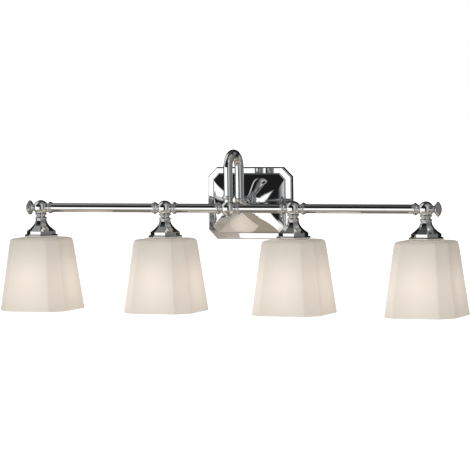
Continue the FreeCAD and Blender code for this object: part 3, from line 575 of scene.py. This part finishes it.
def makeCups():
    # Octagons whose half width follows a concave flare, then a vertical band, a groove and a flange. The last rows
    # run in to the round mouth and close inside.
    high, low = cupHigh[2], cupLow[2]
    foot, band, ledge = [low + cup[k] for k in ("flareFoot", "bandFoot", "ledge")]
    top, wide, flange = cup["topFlat"], cup["flareFlat"], cup["flangeFlat"]
    t = np.linspace(0, 1, 26)
    flare = [(top + (wide - top) * v ** cup["sweep"], high + (foot - high) * v) for v in t]
    rows = [(0, high, 0), (top - 0.1, high, 0), *flare[:-1], (wide, foot, 0.35), (wide, band, 0.2),
            (wide + 0.4, ledge, 0.2), (flange - 1.5, ledge, 0.3), (flange, low + cup["flangeTop"], 0.3),
            (flange, low, 0.3)]
    outer = eased(rows, closed=False, guard=0.15, steps=4)
    half, z = outer.T
    leg = half * (2 - math.sqrt(2))
    ring = octagons(half, half, leg, np.minimum(cup["edge"], half * 0.4), 4)
    angle = np.arctan2(ring[-1, :, 1], ring[-1, :, 0])
    inside = [(cup["mouth"], low), (cup["mouth"], low + 4), (14, low + 7), (8, high - 3), (0, high - 3)]
    for radius, height in inside:
        ring = np.concatenate([ring, radius * np.stack([np.cos(angle), np.sin(angle)], 1)[None]])
        z = np.append(z, height)
    groove = np.clip(1 - np.abs(z - (low + 4.8)) / 0.5, 0, 1)
    for k, x in zip(lampNumbers, hubX):
        grid = np.stack([ring[..., 0] + x, ring[..., 1] + barAxis[0], np.repeat(z[:, None], ring.shape[1], 1)], 2)
        piece("cup_bell_%d" % k, [grid], finishes["polished_chrome"], stands=["cup_%d" % k],
              marks=[np.repeat(groove[:, None], ring.shape[1], 1)])


makeCups()

# Shades and lamps
shade = {"topHalf": 47.5, "footHalf": 62.6, "topLeg": 16.4, "footLeg": 21.0, "wall": 3.8, "hole": 21.2,
         "shoulder": 8.0, "edge": 4.5, "lampBelowTop": 64.0}


def makeShades():
    # Octagons whose half width runs straight from shoulder to foot, closed by a rounded lip and an inner wall set
    # in by the glass's thickness. Near the hole each outline blends into a circle.
    top, foot = shadeHigh[2], shadeLow[2]
    slope = (shade["footHalf"] - shade["topHalf"]) / (top - foot - 6.5)
    wall = shade["wall"]
    crown = shade["topHalf"] - 6.5 * slope

    def widthAt(z):
        return crown + (top - z) * slope

    levels = np.linspace(top - 14, foot + 6, 16)
    outside = [(shade["hole"], top - 1.6, 0), (shade["hole"], top - 0.1, 0.7), (29, top, 0), (36, top - 0.25, 0),
               (crown - 0.4, top - 0.9, shade["shoulder"]), *[(widthAt(z), z) for z in levels],
               (widthAt(foot), foot, wall * 0.45)]
    inside = [(widthAt(foot) - wall, foot, wall * 0.45), *[(widthAt(z) - wall, z) for z in levels[::-1]],
              (crown - wall, top - wall - 0.8, 5.0), (30, top - wall, 0), (shade["hole"], top - wall, 0.7)]
    profile = eased(outside + inside, steps=7, guard=0.5)
    half, z = profile.T
    span = shade["footHalf"] - shade["topHalf"]
    leg = shade["topLeg"] + (half - shade["topHalf"]) * (shade["footLeg"] - shade["topLeg"]) / span
    leg = np.where(half < shade["topHalf"], shade["topLeg"] * half / shade["topHalf"], leg)
    ring = octagons(half, half, leg, np.full(len(half), shade["edge"]), 7)
    angle = np.arctan2(ring[..., 1], ring[..., 0])
    circle = half[:, None, None] * np.stack([np.cos(angle), np.sin(angle)], 2)
    blend = np.clip((half - 27) / 15, 0, 1)[:, None, None]
    blend = blend * blend * (3 - 2 * blend)
    ring = circle * (1 - blend) + ring * blend
    height = np.repeat(z[:, None], ring.shape[1], 1)
    mark = np.stack([ring[..., 0], ring[..., 1], height - (top - shade["lampBelowTop"])], 2)
    for k, x in zip(lampNumbers, hubX):
        grid = np.stack([ring[..., 0] + x, ring[..., 1] + barAxis[0], height], 2)
        piece("shade_glass_%d" % k, [grid], finishes["opal_glass"], body="shade_body_%d" % k, stands=["shade_%d" % k],
              marks=[mark], wrapRows=True)


lamp = {"threadPitch": 3.628, "threadDepth": 0.55, "neck": 12.3, "neckLength": 10, "globe": 30.0, "joinAngle": 22}


def makeLamps():
    for k, x in zip(lampNumbers, hubX):
        low, high = boxMm("lamp_glass_%d" % k)
        capLow, capHigh = boxMm("lamp_shell_%d" % k)
        centre = low[2] + lamp["globe"]
        # glass: neck, a smooth flare (a cosine ease from neck to globe) and the globe's arc
        t = np.linspace(0, 1, 26)
        neckTop, neckEnd = high[2], high[2] - lamp["neckLength"]
        joinAngle = lamp["joinAngle"]
        join = lamp["globe"] * math.cos(math.radians(joinAngle))
        joinAt = centre + lamp["globe"] * math.sin(math.radians(joinAngle))
        flare = lamp["neck"] + (join - lamp["neck"]) * (0.5 - 0.5 * np.cos(math.pi * t ** 0.92))
        rows = [(0, neckTop), (lamp["neck"], neckTop)]
        rows += list(zip(flare[:-1], (neckEnd + (joinAt - neckEnd) * t)[:-1]))
        rows += arcPoints(0, centre, lamp["globe"], joinAngle, -90, 34)
        profile = np.array(rows)
        profile[-1, 0] = 0
        grid = spun(profile, (x, barAxis[0], 0), up, 72)
        mark = grid - np.array([x, barAxis[0], centre])
        piece("lamp_bulb_%d" % k, [grid], finishes["frosted_glass"], body="lamp_body_%d" % k,
              stands=["lamp_glass_%d" % k], marks=[mark])
        # cap: radius swells with the cosine of the height less one pitch for each turn, which is a thread
        height = np.linspace(capLow[2], capHigh[2], 110)
        angle = np.linspace(0, 2 * math.pi, 72, endpoint=False)
        wave = np.cos(2 * math.pi * height[:, None] / lamp["threadPitch"] - angle)
        ends = np.clip(np.minimum(height - capLow[2], capHigh[2] - height) / 3.0, 0, 1)[:, None]
        outer = (capHigh[0] - capLow[0]) / 2
        radius = outer - lamp["threadDepth"] * (1 - wave * ends) * (0.5 + 0.5 * ends)
        spiral = np.stack([x + radius * np.cos(angle), barAxis[0] + radius * np.sin(angle),
                           np.repeat(height[:, None], 72, 1)], 2)
        closing = spiral[[0, -1]].copy()
        closing[..., 0], closing[..., 1] = x, barAxis[0]
        piece("lamp_screw_cap_%d" % k, [np.concatenate([closing[:1], spiral, closing[1:]])], finishes["lamp_cap"],
              body="lamp_body_%d" % k, stands=["lamp_shell_%d" % k])


makeShades()
makeLamps()
print("shades and lamps made")

# Stage
studio = {"floorBelow": 620.0, "floorSize": 60.0, "floorGlow": 1.1, "ambient": 0.014}


def makeFloor():
    material, tree, place = finish("paleFloor")
    tone = mixed(tree, noise(tree, place, 0.4, 2), colour(0.9, 0.9, 0.9), colour(0.94, 0.94, 0.94))
    surface(tree, Base_Color=tone, Roughness=0.9, Emission_Color=colour(1, 1, 1), Emission_Strength=studio["floorGlow"])
    mesh = bpy.data.meshes.new("floor")
    half, z = studio["floorSize"] / 2, -studio["floorBelow"] * mm
    mesh.from_pydata([(-half, -half, z), (half, -half, z), (half, half, z), (-half, half, z)], [], [(0, 1, 2, 3)])
    mesh.materials.append(material)
    floor = bpy.data.objects.new("floor", mesh)
    bpy.context.collection.objects.link(floor)
    floor.visible_glossy = False
    floor.visible_diffuse = False


# panels of the studio, by direction: yaw from straight ahead of the light towards +X, height and soft edge, in
# degrees, then strength
panels = {
    "key": (-78, 3, -29, 10, 2, 1.25),
    "left": (-118, -62, 10, 62, 12, 0.75),
    "edge": (27, 58, -40, 50, 5, 0.6),
    "side": (58, 156, -50, 40, 3, 0.17),
    "top": (-4, 120, 40, 80, 6, 0.26),
    "ceiling": (-180, 180, 48, 91, 5, 0.04),
}
ground = {"near": colour(0.215, 0.20, 0.175), "far": colour(0.40, 0.345, 0.265), "edge": -30, "nearAt": -52}


def makeStudio():
    world = bpy.data.worlds.new("studio")
    bpy.context.scene.world = world
    world.use_nodes = True
    tree = world.node_tree
    tree.nodes.clear()
    direction = node(tree, "TexCoord", out="Generated")
    x, y, z = [node(tree, "SeparateXYZ", {}, (direction,), out=axis) for axis in "XYZ"]
    yaw = node(tree, "Math", {"operation": "ARCTAN2"}, (x, 0 - y)) * (180 / math.pi)
    height = node(tree, "Math", {"operation": "ARCSINE"}, (z,)) * (180 / math.pi)
    light = studio["ambient"]
    for left, right, low, high, soft, strength in panels.values():
        inYaw = ramped(tree, yaw, left - soft, left + soft) * (1 - ramped(tree, yaw, right - soft, right + soft))
        inHeight = ramped(tree, height, low - soft, low + soft) * (1 - ramped(tree, height, high - soft, high + soft))
        light = inYaw * inHeight * strength + light
    sky = node(tree, "CombineColor", {}, (light, light * 1.01, light * 0.99))
    earth = mixed(tree, ramped(tree, height, ground["nearAt"] - 6, ground["nearAt"] + 6), ground["near"], ground["far"])
    below = 1 - ramped(tree, height, ground["edge"] - 4, ground["edge"] + 4)
    room = mixed(tree, below, sky, earth)
    seen = node(tree, "LightPath", out="Is Camera Ray")
    shown = mixed(tree, seen, room, colour(1, 1, 1))
    background = node(tree, "Background", {}, {"Color": shown, "Strength": 1.0})
    node(tree, "OutputWorld", {}, {"Surface": background})


# the camera stands in front of the light, a little above it and to its right
camera = {"yaw": 22.01, "pitch": 3.16, "roll": -0.82, "distance": 5148.2, "aside": 11.32, "below": 45.87,
          "lens": 229.4}


def makeCamera():
    yaw, pitch, roll = [math.radians(camera[k]) for k in ("yaw", "pitch", "roll")]
    back = Vector((math.sin(yaw) * math.cos(pitch), -math.cos(yaw) * math.cos(pitch), math.sin(pitch)))
    right = Vector((math.cos(yaw), math.sin(yaw), 0))
    rise = back.cross(right)
    across = right * math.cos(roll) + rise * math.sin(roll)
    upward = rise * math.cos(roll) - right * math.sin(roll)
    data = bpy.data.cameras.new("camera")
    data.lens = camera["lens"]
    data.sensor_width = 36
    data.clip_start, data.clip_end = 0.1, 200
    obj = bpy.data.objects.new("camera", data)
    bpy.context.collection.objects.link(obj)
    centre = Vector((0, barAxis[0], barAxis[1])) * mm
    place = centre + (across * camera["aside"] - upward * camera["below"] + back * camera["distance"]) * mm
    obj.matrix_world = Matrix.Translation(place) @ Matrix((across, upward, back)).transposed().to_4x4()
    bpy.context.scene.camera = obj


makeFloor()
makeStudio()
makeCamera()
bpy.context.scene.view_settings.view_transform = "Standard"
print("studio ready")
